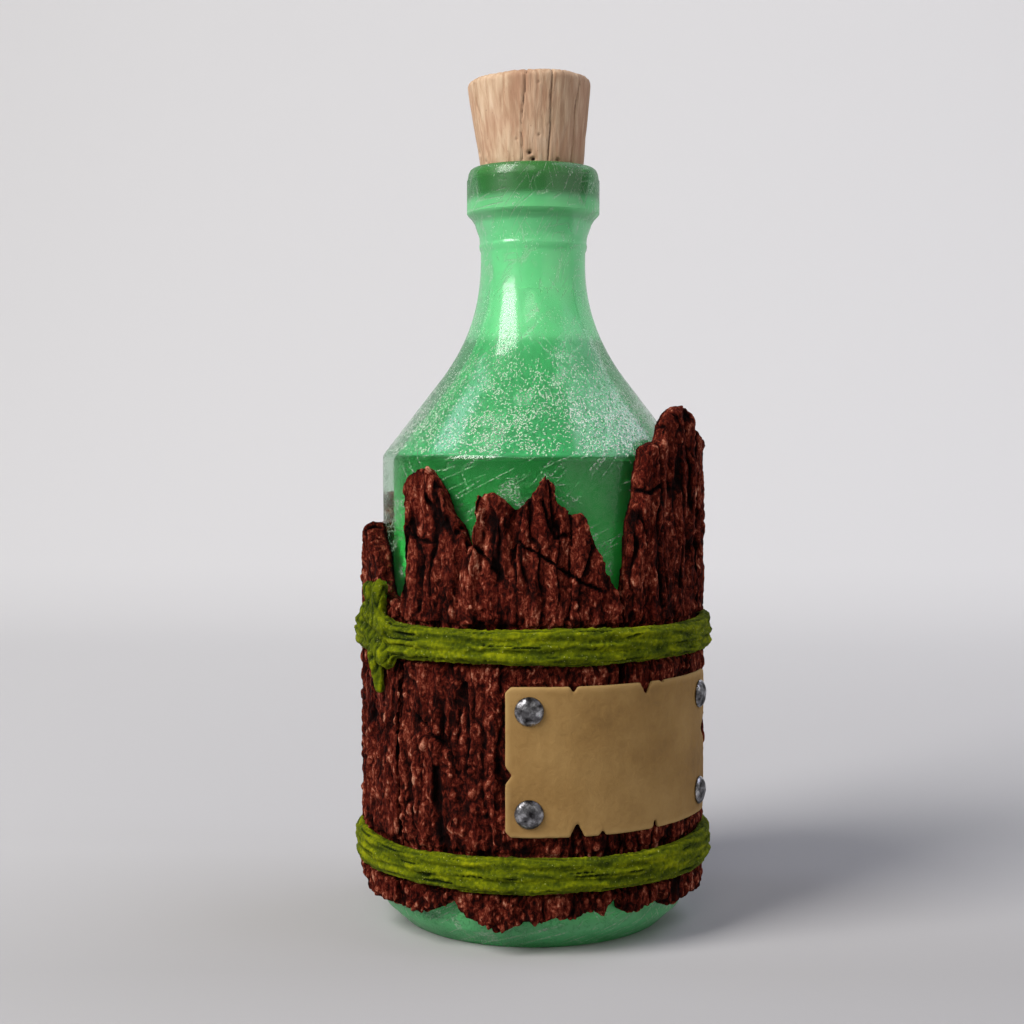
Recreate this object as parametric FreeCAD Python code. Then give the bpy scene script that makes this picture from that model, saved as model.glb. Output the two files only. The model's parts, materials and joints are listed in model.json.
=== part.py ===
import FreeCAD, Part
import math
import os

# Sizes are in millimetres and angles in degrees. The bottle stands on z = 0 with its axis on +Z.
# Angles go round the bottle from its front, which faces -Y, towards +X.

# Glass bottle, upwards from its base
body_radius = 37.5
wall = 3.0
base_thickness = 4.5
heel_height = 5.1
heel_inset = 5.6
shoulder_height = 115.4
shoulder_slope = 37.6
neck_radius = 13.0
neck_curve = 46.0
neck_steps = 5
neck_length = 3.0
flare_height = 3.9
collar_radius = 13.5
collar_rise = 2.6
collar_swell = 0.9
throat_rise = 2.6
lip_height = 11.3
lip_radius = 16.5
lip_round = 1.3
lip_round_share = 0.3

# Cork, and the tapered seat that it is pushed into
seat_depth = 9.0
seat_ledge = 1.5
cork_length = 30.9
cork_mouth_radius = 12.8
cork_top_radius = 15.3
cork_lean = 1.9
cork_round = 1.1
cork_clearance = 0.25
cork_sides = 30

# Bark slabs
bark_gap = 0.15
bark_thickness = 4.6
ridge_height = 0.95
ridge_sink = 0.45
ridge_pitch = 7.0
ridge_drift = 1.8
drift_length = 37.0
fine_ridge_share = 0.35
fine_ridge_pitch = 3.0
cleft_fade = 7.0
edge_bevel = 0.8
top_bevel = 1.2
top_setback = 1.6
bark_step = 3.2
belt_shares = [0.33, 0.67]
tooth_shares = [0.3, 0.65]

# Vines, each lying in a groove that it has pressed into the bark
upper_vine_height = 72.2
lower_vine_height = 19.7
vine_half_width = 4.3
vine_thickness = 3.6
vine_bite = 1.0
vine_margin = 0.6
vine_step = 8.5
vine_foot_share = 0.8
width_swell = 0.06
width_swell_turn = 73.0
strand_sway = 0.07
strand_sway_turn = 96.0
strand_swell = 0.07
strand_swell_turn = 31.0
strand_shift = 2.1
seat_gap = 0.1
upper_knot_angle = -61.0
upper_knot_rise = 0.9
upper_knot_seat = [16.0, 17.0]
upper_twist = 0.4
lower_knot_angle = 180.0
lower_knot_rise = 0.4
lower_knot_seat = [11.0, 8.0]
lower_twist = 2.6
knot_half_gap = 4.0
lobe_sides = 8
lobe_end = [[0.45, 0.9], [0.88, 0.5], [1.0, 0.0]]

# Label and the four nails through its corners
label_centre_angle = 33.8
label_width = 64.0
label_margin = 3.95
label_seat_margin = 2.0
notch_reach = 2.0
label_thickness = 1.0
label_step = 4.2
corner_cut = 1.4
nail_inset = 5.6
nail_head_radius = 3.4
nail_head_height = 1.7
nail_rim = 0.45
nail_rim_width = 0.5
nail_dome = [[0.72, 0.72], [0.35, 1.0]]
nail_shank_radius = 0.8
nail_length = 3.6
nail_tip_share = 0.3
nail_clearance = 0.05
head_sides = 12

slope = math.radians(shoulder_slope)
cone_end_radius = neck_radius + neck_curve * (1 - math.cos(slope))
cone_end_height = shoulder_height + (body_radius - cone_end_radius) / math.tan(slope)
neck_height = cone_end_height + neck_curve * math.sin(slope)
collar_height = neck_height + neck_length + flare_height
lip_underside = collar_height + collar_rise + throat_rise
bottle_height = lip_underside + lip_height
seat_height = bottle_height - seat_depth

bark_inner = body_radius + bark_gap
seat_radius = bark_inner + bark_thickness
groove_radius = seat_radius - vine_bite
vine_inner = groove_radius + seat_gap
groove_half_width = vine_half_width + vine_margin
label_inner = seat_radius + seat_gap
label_outer = label_inner + label_thickness
label_centre_height = (upper_vine_height + lower_vine_height) / 2
label_height = upper_vine_height - lower_vine_height - 2 * groove_half_width - 2 * label_margin

point = FreeCAD.Vector
up = point(0, 0, 1)

# Top edges of the slabs: [angle, rise above the upper groove]
front_top = [[-48.4, 5.0], [-47.0, 9.5], [-46.0, 31.0], [-45.3, 33.6], [-43.5, 35.4], [-37.0, 35.9],
             [-33.6, 33.3], [-30.7, 30.8], [-27.9, 26.0], [-23.6, 22.8], [-22.0, 19.5], [-19.7, 16.6],
             [-18.9, 24.0], [-18.2, 29.8], [-13.8, 30.5], [-10.6, 29.7], [-5.6, 26.6], [-2.7, 28.4],
             [0.7, 31.2], [4.0, 34.4], [6.6, 32.3], [8.4, 28.0], [13.4, 25.5], [16.5, 26.0],
             [18.5, 22.8], [22.6, 16.0], [24.9, 12.2], [28.4, 7.6], [29.4, 5.4]]
left_top = [[-99.8, 18.4], [-92.0, 20.6], [-84.3, 19.4], [-78.0, 22.0], [-73.0, 22.6], [-70.0, 19.0],
            [-65.0, 15.8], [-62.0, 9.5], [-60.0, 6.0], [-48.9, 3.5]]
right_top = [[29.9, 6.0], [31.2, 8.4], [32.8, 15.0], [33.6, 24.0], [36.4, 29.2], [37.0, 34.5],
             [38.2, 37.5], [39.6, 41.3], [43.0, 42.0], [47.5, 42.5], [49.6, 46.6], [53.1, 49.2],
             [57.0, 50.4], [63.0, 50.6], [68.6, 48.8], [70.8, 45.0], [77.0, 44.2], [84.0, 43.4],
             [88.0, 40.0], [91.8, 29.0]]
back_right_top = [[92.3, 21.5], [96.0, 25.5], [103.0, 23.0], [110.0, 17.0], [117.0, 25.0],
                  [124.0, 31.5], [131.0, 27.0], [138.0, 16.5], [145.0, 13.0], [152.0, 22.0],
                  [159.0, 33.0], [166.0, 31.5], [171.0, 24.0], [175.8, 15.5]]
back_left_top = [[176.2, 14.5], [182.0, 24.0], [190.0, 27.5], [197.0, 19.5], [204.0, 11.5],
                 [211.0, 21.0], [218.0, 31.0], [225.0, 27.5], [232.0, 21.5], [239.0, 28.0],
                 [245.0, 29.0], [248.0, 22.5], [254.0, 18.0], [259.8, 18.5]]

# Bottom edges of the slabs: [angle, drop below the lower groove]
front_bottom = [[-48.4, 6.0], [-40.0, 6.9], [-35.2, 5.6], [-29.1, 3.6], [-26.4, 1.9], [-25.0, 4.5],
                [-21.0, 6.2], [-12.0, 8.7], [-8.7, 9.0], [-6.2, 7.0], [3.4, 6.8], [7.0, 5.0],
                [13.4, 6.4], [20.1, 4.2], [23.3, 5.5], [26.0, 3.0], [28.0, 1.2], [29.4, 3.6]]
left_bottom = [[-99.8, 5.0], [-84.0, 4.4], [-74.0, 4.2], [-69.0, 6.8], [-60.0, 6.4], [-48.9, 6.0]]
right_bottom = [[29.9, 4.8], [33.2, 6.0], [37.0, 5.9], [43.3, 4.2], [46.8, 2.2], [49.4, 5.4],
                [52.0, 6.6], [70.0, 6.2], [82.0, 7.6], [91.8, 6.0]]
back_right_bottom = [[92.3, 5.5], [104.0, 7.0], [112.0, 2.8], [122.0, 6.4], [138.0, 8.0],
                     [148.0, 5.0], [160.0, 7.2], [175.8, 4.4]]
back_left_bottom = [[176.2, 5.2], [188.0, 7.4], [199.0, 3.0], [212.0, 6.6], [226.0, 7.8],
                    [238.0, 4.6], [248.0, 6.8], [259.8, 5.8]]

# How far each slab's face lies out from an even ring
front_lift = 0.35
left_lift = 0.85
right_lift = 0.5
back_right_lift = 0.2
back_left_lift = 0.0

# Clefts in the slabs, open at the top: [angle, foot above the upper groove, half width, depth]
front_clefts = [[-39.6, 18.5, 1.5, 2.0], [-35.6, 20.5, 1.2, 1.4], [-24.5, 4.0, 2.4, 1.5],
                [-15.4, 14.0, 1.2, 1.1], [-5.8, 11.0, 2.0, 2.3], [10.8, 9.0, 1.8, 1.3]]
left_clefts = [[-88.0, 6.0, 1.6, 1.4], [-79.5, 7.0, 1.8, 1.6]]
right_clefts = [[50.6, 1.0, 2.2, 2.0], [63.0, 2.0, 2.0, 1.7], [74.5, 4.0, 2.0, 1.5]]
back_right_clefts = [[101.0, 3.0, 2.0, 1.5], [124.0, 8.0, 2.2, 2.1], [162.0, 9.0, 2.2, 1.9]]
back_left_clefts = [[187.0, 6.0, 2.0, 1.8], [219.5, 8.0, 2.2, 2.1], [242.5, 8.0, 2.0, 1.5]]

# Notches in the label's edges: [place along the edge from its middle, half width, depth]
label_top_notches = [[-16.1, 0.9, 1.8], [2.9, 1.8, 3.2], [8.2, 0.8, 1.0]]
label_bottom_notches = [[-15.2, 1.8, 3.6], [-9.0, 0.9, 1.6], [5.9, 0.9, 2.6]]
label_left_notch = [-3.0, 2.1, 1.6]
label_right_notch = [3.0, 3.0, 3.6]

# One vine's outer side: [place across its width, share of its thickness], three strands wide
strand_profile = [[-1.0, 0.4], [-0.78, 0.82], [-0.48, 0.97], [-0.3, 0.7], [0.02, 1.0],
                  [0.32, 0.72], [0.6, 0.95], [0.85, 0.76], [1.0, 0.35]]

# Lobes of a knot: [angle, height, radius] of each end, from the knot's middle
upper_knot = [[[3.0, 5.0, 2.3], [4.6, 11.6, 2.6]], [[0.0, 5.0, 1.8], [-4.4, 11.4, 2.1]],
              [[-6.0, 6.0, 2.4], [8.2, 2.8, 2.9]], [[-11.0, 3.0, 2.5], [8.0, -4.4, 3.0]],
              [[1.0, -4.0, 2.6], [3.4, -12.2, 1.5]]]
lower_knot = [[[-6.5, 1.6, 2.2], [6.5, -1.6, 2.0]], [[-6.5, -1.6, 2.0], [6.5, 1.6, 2.2]],
              [[2.0, -2.0, 1.9], [4.5, -6.6, 1.3]]]


def polar(radius, angle, height):
    turn = math.radians(angle)
    return point(radius * math.sin(turn), -radius * math.cos(turn), height)


def wave(value, length, start=0.0):
    return math.sin(2 * math.pi * value / length + start)


def flat_face(corners):
    return Part.Face(Part.makePolygon(corners + corners[:1]))


def facet_loft(sections):
    # Each section is flat and has as many corners as the next, and flat facets join them
    faces = [flat_face(sections[0]), flat_face(sections[-1])]
    for near, far in zip(sections, sections[1:]):
        for place in range(len(near)):
            faces.append(flat_face([near[place - 1], near[place], far[place]]))
            faces.append(flat_face([near[place - 1], far[place], far[place - 1]]))
    shell = Part.makeShell(faces)
    shell.sewShape()
    solid = Part.makeSolid(shell)
    return solid.reversed() if solid.Volume < 0 else solid


def facet_ring(centre, turn, radius, along, sides):
    # An even ring of corners round a turned axis, at a distance along it
    corners = []
    for count in range(sides):
        angle = 2 * math.pi * count / sides
        corner = point(radius * math.cos(angle), radius * math.sin(angle), along)
        corners.append(centre + turn.multVec(corner))
    return corners


def value_at(outline, angle):
    for (low_angle, low), (high_angle, high) in zip(outline, outline[1:]):
        if angle <= high_angle:
            return low + (high - low) * (angle - low_angle) / (high_angle - low_angle)
    return outline[-1][1]


def stations(angles, step):
    # The given angles in order, with even ones between those that lie far apart
    ordered = sorted({round(angle, 3) for angle in angles})
    result = ordered[:1]
    for low, high in zip(ordered, ordered[1:]):
        count = math.ceil((high - low) / step)
        result += [low + (high - low) * part / count for part in range(1, count + 1)]
    return result


def mouth_radius(depth):
    taper = (cork_top_radius - cork_mouth_radius) / (cork_length - seat_depth)
    lean_room = (seat_depth - depth) * math.tan(math.radians(cork_lean))
    return cork_mouth_radius - taper * depth + cork_clearance + lean_room


def neck_sweep(curve):
    # The concave sweep, round a ring outside the neck, that leads from the shoulder into the neck
    centre = neck_radius + neck_curve
    turns = [slope * (1 - count / neck_steps) for count in range(neck_steps + 1)]
    return [point(centre - curve * math.cos(turn), 0, neck_height - curve * math.sin(turn))
            for turn in turns]


def make_glass_bottle():
    inner_radius = body_radius - wall
    inner_neck = neck_radius - wall
    inner_shoulder = shoulder_height - wall * math.tan(slope / 2)
    outside = [point(0, 0, 0), point(body_radius - heel_inset, 0, 0),
               point(body_radius, 0, heel_height), point(body_radius, 0, shoulder_height)]
    neck = [point(neck_radius, 0, neck_height + neck_length), point(collar_radius, 0, collar_height),
            point(collar_radius + collar_swell, 0, collar_height + collar_rise),
            point(lip_radius, 0, lip_underside), point(lip_radius, 0, bottle_height - lip_round),
            point(lip_radius - lip_round_share * lip_round, 0,
                  bottle_height - lip_round_share * lip_round),
            point(lip_radius - lip_round, 0, bottle_height), point(mouth_radius(0), 0, bottle_height),
            point(mouth_radius(seat_depth), 0, seat_height),
            point(inner_neck, 0, seat_height - seat_ledge)]
    inside = [point(inner_radius, 0, inner_shoulder), point(inner_radius, 0, base_thickness + wall),
              point(inner_radius - wall, 0, base_thickness), point(0, 0, base_thickness)]
    profile = outside + neck_sweep(neck_curve) + neck
    profile += list(reversed(neck_sweep(neck_curve + wall))) + inside
    return flat_face(profile).revolve(point(0, 0, 0), up, 360)


def make_cork_stopper():
    # Cut by hand, so it is many-sided, and it leans a little in its seat
    seat = mouth_radius(seat_depth) - cork_clearance
    rings = [[seat - cork_round, 0], [seat, cork_round], [cork_mouth_radius, seat_depth],
             [cork_top_radius, cork_length - cork_round], [cork_top_radius - cork_round, cork_length]]
    lean = FreeCAD.Rotation(point(0, 1, 0), -cork_lean)
    foot = point(0, 0, seat_height)
    return facet_loft([facet_ring(foot, lean, radius, height, cork_sides) for radius, height in rings])


def label_angle(across):
    return label_centre_angle + math.degrees(across / label_outer)


def under_tie(turn, rise, seat):
    return abs(turn) < seat[0] and abs(rise) < seat[1]


def bark_radius(angle, height, lift, clefts):
    # Uneven ridges that wander on their way up, with clefts between some of them
    turn = angle + ridge_drift * wave(height, drift_length)
    ridge = (1 - fine_ridge_share) * wave(turn, ridge_pitch)
    ridge += fine_ridge_share * wave(turn, fine_ridge_pitch, height / drift_length)
    radius = seat_radius + lift - ridge_sink + ridge_height * ridge
    for centre, foot, half_width, depth in clefts:
        side = max(0, 1 - abs(angle - centre) / half_width)
        rise = height - upper_vine_height - groove_half_width - foot
        radius -= depth * side * min(1, max(0, rise / cleft_fade))
    label_reach = math.degrees((label_width / 2 + label_seat_margin) / label_outer)
    under_label = abs(angle - label_centre_angle) < label_reach
    under_label = under_label and lower_vine_height < height < upper_vine_height
    under_knot = under_tie(angle - upper_knot_angle, height - upper_vine_height, upper_knot_seat)
    under_knot = under_knot or under_tie(angle - lower_knot_angle, height - lower_vine_height,
                                         lower_knot_seat)
    return min(radius, seat_radius) if under_label or under_knot else radius


def bark_section(angle, top, bottom, lift, clefts):
    lower, upper = lower_vine_height, upper_vine_height
    half = groove_half_width
    wall_heights = [bottom + edge_bevel]
    wall_heights += [lower - half, lower + half]
    wall_heights += [lower + half + (upper - lower - 2 * half) * share for share in belt_shares]
    wall_heights += [upper - half, upper + half]
    wall_heights += [upper + half + (top - upper - half) * share for share in tooth_shares]
    wall_heights += [top - top_bevel]
    section = [polar(bark_inner, angle, bottom), polar(seat_radius - edge_bevel, angle, bottom)]
    for height in wall_heights:
        section.append(polar(bark_radius(angle, height, lift, clefts), angle, height))
        if height in (lower - half, upper - half):
            section.append(polar(groove_radius, angle, height + vine_margin / 2))
            section.append(polar(groove_radius, angle, height + 2 * half - vine_margin / 2))
    section += [polar(seat_radius - top_setback, angle, top), polar(bark_inner, angle, top - edge_bevel)]
    return section


def make_bark(top_edge, bottom_edge, lift, clefts):
    top_edge = [[angle, upper_vine_height + groove_half_width + rise] for angle, rise in top_edge]
    bottom_edge = [[angle, lower_vine_height - groove_half_width - drop]
                   for angle, drop in bottom_edge]
    angles = [angle for angle, height in top_edge + bottom_edge]
    angles += [centre for centre, foot, half_width, depth in clefts]
    return facet_loft([bark_section(angle, value_at(top_edge, angle), value_at(bottom_edge, angle),
                                    lift, clefts) for angle in stations(angles, bark_step)])


def vine_section(angle, height, twist):
    half_width = vine_half_width * (1 + width_swell * wave(angle, width_swell_turn, twist))
    section = [polar(vine_inner, angle, height + vine_foot_share * half_width),
               polar(vine_inner, angle, height - vine_foot_share * half_width)]
    for count, (across, share) in enumerate(strand_profile):
        sway = strand_sway * wave(angle, strand_sway_turn, twist) * (1 - across ** 2)
        swell = 1 + strand_swell * wave(angle, strand_swell_turn, twist + strand_shift * count)
        section.append(polar(vine_inner + vine_thickness * share * swell, angle,
                             height + half_width * (across + sway)))
    return section


def lobe(start_centre, start_radius, end_centre, end_radius):
    # A knuckle of vine: a tapering stretch with a rounded end at each side
    path = end_centre - start_centre
    turn = FreeCAD.Rotation(up, path)
    rings = [facet_ring(start_centre, turn, width * start_radius, -reach * start_radius, lobe_sides)
             for width, reach in lobe_end]
    rings += [facet_ring(end_centre, turn, width * end_radius, reach * end_radius, lobe_sides)
              for width, reach in reversed(lobe_end)]
    return facet_loft(rings)


def make_vine(height, twist, knot, knot_angle, knot_rise):
    angles = stations([knot_angle + knot_half_gap, knot_angle + 360 - knot_half_gap], vine_step)
    ring = facet_loft([vine_section(angle, height, twist) for angle in angles])
    lobes = []
    for ends in knot:
        placed = []
        for turn, rise, radius in ends:
            placed += [polar(seat_radius + knot_rise, knot_angle + turn, height + rise), radius]
        lobes.append(lobe(*placed))
    tied = lobes[0].fuse(lobes[1:])
    inside = Part.makeCylinder(seat_radius + seat_gap, 4 * vine_half_width * len(knot),
                               point(0, 0, height - 2 * vine_half_width * len(knot)))
    return ring.fuse(tied.cut(inside))


def notch_depth(notches, across):
    depths = [depth * (1 - abs(across - place) / half_width) for place, half_width, depth in notches]
    return max(depths + [0])


def side_notch(notch, side):
    # A wedge that is cut from the label's left (-1) or right (1) edge
    place, half_width, depth = notch
    height = label_centre_height + place
    edge = side * label_width / 2
    corners = [[edge - side * depth, 0], [edge + side, half_width * (1 + 1 / depth)],
               [edge + side, -half_width * (1 + 1 / depth)]]
    sides = [Part.makePolygon([polar(radius, label_angle(across), height + rise)
                               for across, rise in corners + corners[:1]])
             for radius in (label_inner - notch_reach, label_outer + notch_reach)]
    return Part.makeLoft(sides, True, True)


def make_parchment_label():
    half = label_width / 2
    places = [-half, corner_cut - half, half - corner_cut, half]
    for place, half_width, depth in label_top_notches + label_bottom_notches:
        places += [place - half_width, place, place + half_width]
    sections = []
    for across in stations(places, label_step):
        corner = corner_cut if abs(across) > half - corner_cut / 2 else 0
        top = label_centre_height + label_height / 2 - corner - notch_depth(label_top_notches, across)
        bottom = label_centre_height - label_height / 2 + corner
        bottom += notch_depth(label_bottom_notches, across)
        angle = label_angle(across)
        sections.append([polar(label_inner, angle, bottom), polar(label_outer, angle, bottom),
                         polar(label_outer, angle, top), polar(label_inner, angle, top)])
    label = facet_loft(sections)
    return label.cut([side_notch(label_left_notch, -1), side_notch(label_right_notch, 1)])


def nail_places():
    across = label_width / 2 - nail_inset
    rise = label_height / 2 - nail_inset
    return [FreeCAD.Placement(polar(label_outer, label_angle(side), label_centre_height + height),
                              FreeCAD.Rotation(up, polar(1, label_angle(side), 0)))
            for side in (-across, across) for height in (-rise, rise)]


def make_nail():
    # A hammered head in flat facets, on a square pointed shank
    outline = [[nail_head_radius, 0], [nail_head_radius, nail_rim],
               [nail_head_radius - nail_rim_width, nail_rim]]
    outline += [[width * nail_head_radius, rise * nail_head_height] for width, rise in nail_dome]
    head = facet_loft([facet_ring(point(0, 0, 0), FreeCAD.Rotation(), radius, height, head_sides)
                       for radius, height in outline])
    return head.fuse(square_stem(nail_shank_radius, nail_length, nail_tip_share))


def square_stem(half_width, length, tip_share):
    squares = [[tip_share * half_width, -length], [half_width, 2 * half_width - length], [half_width, 0]]
    return facet_loft([[point(half, half, height), point(-half, half, height),
                        point(-half, -half, height), point(half, -half, height)]
                       for half, height in squares])


def placed_copies(shape, places):
    copies = []
    for place in places:
        copy = shape.copy()
        copy.Placement = place
        copies.append(copy)
    return copies


def make_nail_holes():
    # Square holes that reach from just under the nail's point to just above the label
    width = 2 * (nail_shank_radius + nail_clearance)
    depth = nail_length + nail_clearance
    hole = Part.makeBox(width, width, depth + label_thickness, point(-width / 2, -width / 2, -depth))
    return placed_copies(hole, nail_places())


def build():
    holes = make_nail_holes()
    nodes = {
        "glass_bottle": make_glass_bottle(),
        "cork_stopper": make_cork_stopper(),
        "bark_front": make_bark(front_top, front_bottom, front_lift, front_clefts).cut(holes),
        "bark_left": make_bark(left_top, left_bottom, left_lift, left_clefts),
        "bark_right": make_bark(right_top, right_bottom, right_lift, right_clefts).cut(holes),
        "bark_back_right": make_bark(back_right_top, back_right_bottom, back_right_lift,
                                     back_right_clefts),
        "bark_back_left": make_bark(back_left_top, back_left_bottom, back_left_lift,
                                    back_left_clefts),
        "vine_upper": make_vine(upper_vine_height, upper_twist, upper_knot, upper_knot_angle,
                                upper_knot_rise),
        "vine_lower": make_vine(lower_vine_height, lower_twist, lower_knot, lower_knot_angle,
                                lower_knot_rise),
        "parchment_label": make_parchment_label().cut(holes),
        "label_nails": Part.makeCompound(placed_copies(make_nail(), nail_places()))}
    os.makedirs("parts", exist_ok=True)
    for name, shape in nodes.items():
        shape.exportStep("parts/" + name + ".step")
        print(name, len(shape.Solids), shape.isValid(), round(shape.Volume / 1000, 2), "cm3")


build()
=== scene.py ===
import bpy
import json
import math
import numpy as np
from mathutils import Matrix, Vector, noise

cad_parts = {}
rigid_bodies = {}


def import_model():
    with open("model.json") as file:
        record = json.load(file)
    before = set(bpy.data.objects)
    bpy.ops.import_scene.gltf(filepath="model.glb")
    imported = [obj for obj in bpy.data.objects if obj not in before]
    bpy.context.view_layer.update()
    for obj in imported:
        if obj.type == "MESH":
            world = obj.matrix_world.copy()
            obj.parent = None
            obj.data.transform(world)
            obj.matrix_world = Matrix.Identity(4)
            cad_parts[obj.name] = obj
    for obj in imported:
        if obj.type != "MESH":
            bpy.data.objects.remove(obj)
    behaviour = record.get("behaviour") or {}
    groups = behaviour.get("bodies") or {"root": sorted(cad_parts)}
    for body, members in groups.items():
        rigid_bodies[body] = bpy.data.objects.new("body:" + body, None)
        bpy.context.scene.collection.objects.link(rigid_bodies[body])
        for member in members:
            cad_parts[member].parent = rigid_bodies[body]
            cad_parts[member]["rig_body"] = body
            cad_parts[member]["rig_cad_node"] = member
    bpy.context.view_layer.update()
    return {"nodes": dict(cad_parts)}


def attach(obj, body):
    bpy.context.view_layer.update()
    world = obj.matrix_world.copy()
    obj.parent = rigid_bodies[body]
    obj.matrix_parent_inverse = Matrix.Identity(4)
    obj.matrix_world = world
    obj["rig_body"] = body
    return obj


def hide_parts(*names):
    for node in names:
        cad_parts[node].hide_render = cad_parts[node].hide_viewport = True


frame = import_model()
mm = 0.001
# Angles go round the bottle from its front, which faces -Y, towards +X


def pick(*pieces):
    bpy.ops.object.select_all(action="DESELECT")
    for piece in pieces:
        piece.select_set(True)
    bpy.context.view_layer.objects.active = pieces[0]


def useModifier(piece, kind, **settings):
    pick(piece)
    modifier = piece.modifiers.new(kind, kind)
    for name, value in settings.items():
        setattr(modifier, name, value)
    bpy.ops.object.modifier_apply(modifier=modifier.name)


def mergedCopy(node, name):
    # The frame's mesh is loose triangles, so the copy's corners are joined
    pick(frame["nodes"][node])
    bpy.ops.object.duplicate()
    piece = bpy.context.active_object
    piece.name = piece.data.name = name
    piece.parent = None
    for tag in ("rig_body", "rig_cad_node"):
        del piece[tag]
    piece.data.materials.clear()
    bpy.ops.object.mode_set(mode="EDIT")
    bpy.ops.mesh.select_all(action="SELECT")
    bpy.ops.mesh.remove_doubles(threshold=0.01 * mm)
    bpy.ops.mesh.customdata_custom_splitnormals_clear()
    bpy.ops.object.mode_set(mode="OBJECT")
    return piece


def remeshedCopy(node, name, voxel, smoothing):
    piece = mergedCopy(node, name)
    useModifier(piece, "REMESH", mode="VOXEL", voxel_size=voxel * mm)
    useModifier(piece, "SMOOTH", factor=0.5, iterations=smoothing)
    return piece


def cornersOf(piece):
    places = np.empty(len(piece.data.vertices) * 3)
    piece.data.vertices.foreach_get("co", places)
    return places.reshape(-1, 3) / mm


def normalsOf(piece):
    normals = np.empty(len(piece.data.vertices) * 3)
    piece.data.vertices.foreach_get("normal", normals)
    return normals.reshape(-1, 3)


def setCorners(piece, places):
    piece.data.vertices.foreach_set("co", (places * mm).ravel())
    piece.data.update()


def roundBottle(places):
    # Angle in degrees, radius and height of each corner
    x, y, z = places.T
    return np.degrees(np.arctan2(x, -y)), np.hypot(x, y), z


def fromFront(angle, centre):
    return (angle - centre + 180) % 360 - 180


def step(value, low, high):
    share = np.clip((value - low) / (high - low), 0, 1)
    return share * share * (3 - 2 * share)


def mix(low, high, share):
    return low + (high - low) * share


def softNoise(places):
    return np.array([noise.noise(place) for place in places])


def cellGap(places):
    # Nought in the cracks between cells, and more towards their middles
    nearest = np.array([noise.voronoi(place)[0][:2] for place in places])
    return nearest[:, 1] - nearest[:, 0]


def lineDistance(across, along, line):
    # Distance of each place from a line through flat points, in their own units
    distance = np.full(len(across), 1e9)
    for (x0, y0), (x1, y1) in zip(line, line[1:]):
        dx, dy = x1 - x0, y1 - y0
        share = np.clip(((across - x0) * dx + (along - y0) * dy) / (dx * dx + dy * dy), 0, 1)
        distance = np.minimum(distance, np.hypot(across - x0 - share * dx, along - y0 - share * dy))
    return distance


def crackDistance(angle, height, line, perDegree):
    # The line's angles are flattened about its first point
    start = line[0][0]
    return lineDistance(fromFront(angle, start) * perDegree, height,
                        [[fromFront(turn, start) * perDegree, rise] for turn, rise in line])


def hollow(near, size, floor, rim):
    # One on the floor of a crack or pit and nought past its rim, as shares of its size
    return 1 - step(near, size * floor, size * rim)


def storeValue(piece, name, values):
    attribute = piece.data.attributes.new(name, "FLOAT", "POINT")
    attribute.data.foreach_set("value", values.astype(np.float32))


def smoothShade(piece):
    pick(piece)
    bpy.ops.object.shade_smooth()


def settle(piece, material, body, slotName, *nodes):
    piece.data.materials.append(material)
    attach(piece, body)
    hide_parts(*nodes)
    print("made", piece.name, len(piece.data.polygons), "faces")


# Finishes
bandTop = 200  # height in millimetres that a ramp of bands reaches up to


def tone(red, green, blue):
    return tuple((c / 255 / 12.92 if c <= 10 else ((c / 255 + 0.055) / 1.055) ** 2.4)
                 for c in (red, green, blue)) + (1,)


class Wire:
    # An output of a node: sums and products of wires add their own Math nodes
    def __init__(self, tree, socket):
        self.tree, self.socket = tree, socket

    def maths(self, operation, *values):
        node = self.tree.nodes.new("ShaderNodeMath")
        node.operation = operation
        for place, value in enumerate(values):
            plug(self.tree, value, node.inputs[place])
        return Wire(self.tree, node.outputs[0])

    def __add__(self, other):
        return self.maths("ADD", self, other)

    def __sub__(self, other):
        return self.maths("SUBTRACT", self, other)

    def __rsub__(self, other):
        return self.maths("SUBTRACT", other, self)

    def __mul__(self, other):
        return self.maths("MULTIPLY", self, other)

    def __or__(self, other):
        return self.maths("MAXIMUM", self, other)

    __radd__ = __add__
    __rmul__ = __mul__


def plug(tree, value, socket):
    if isinstance(value, Wire):
        tree.links.new(value.socket, socket)
    else:
        socket.default_value = value


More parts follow.
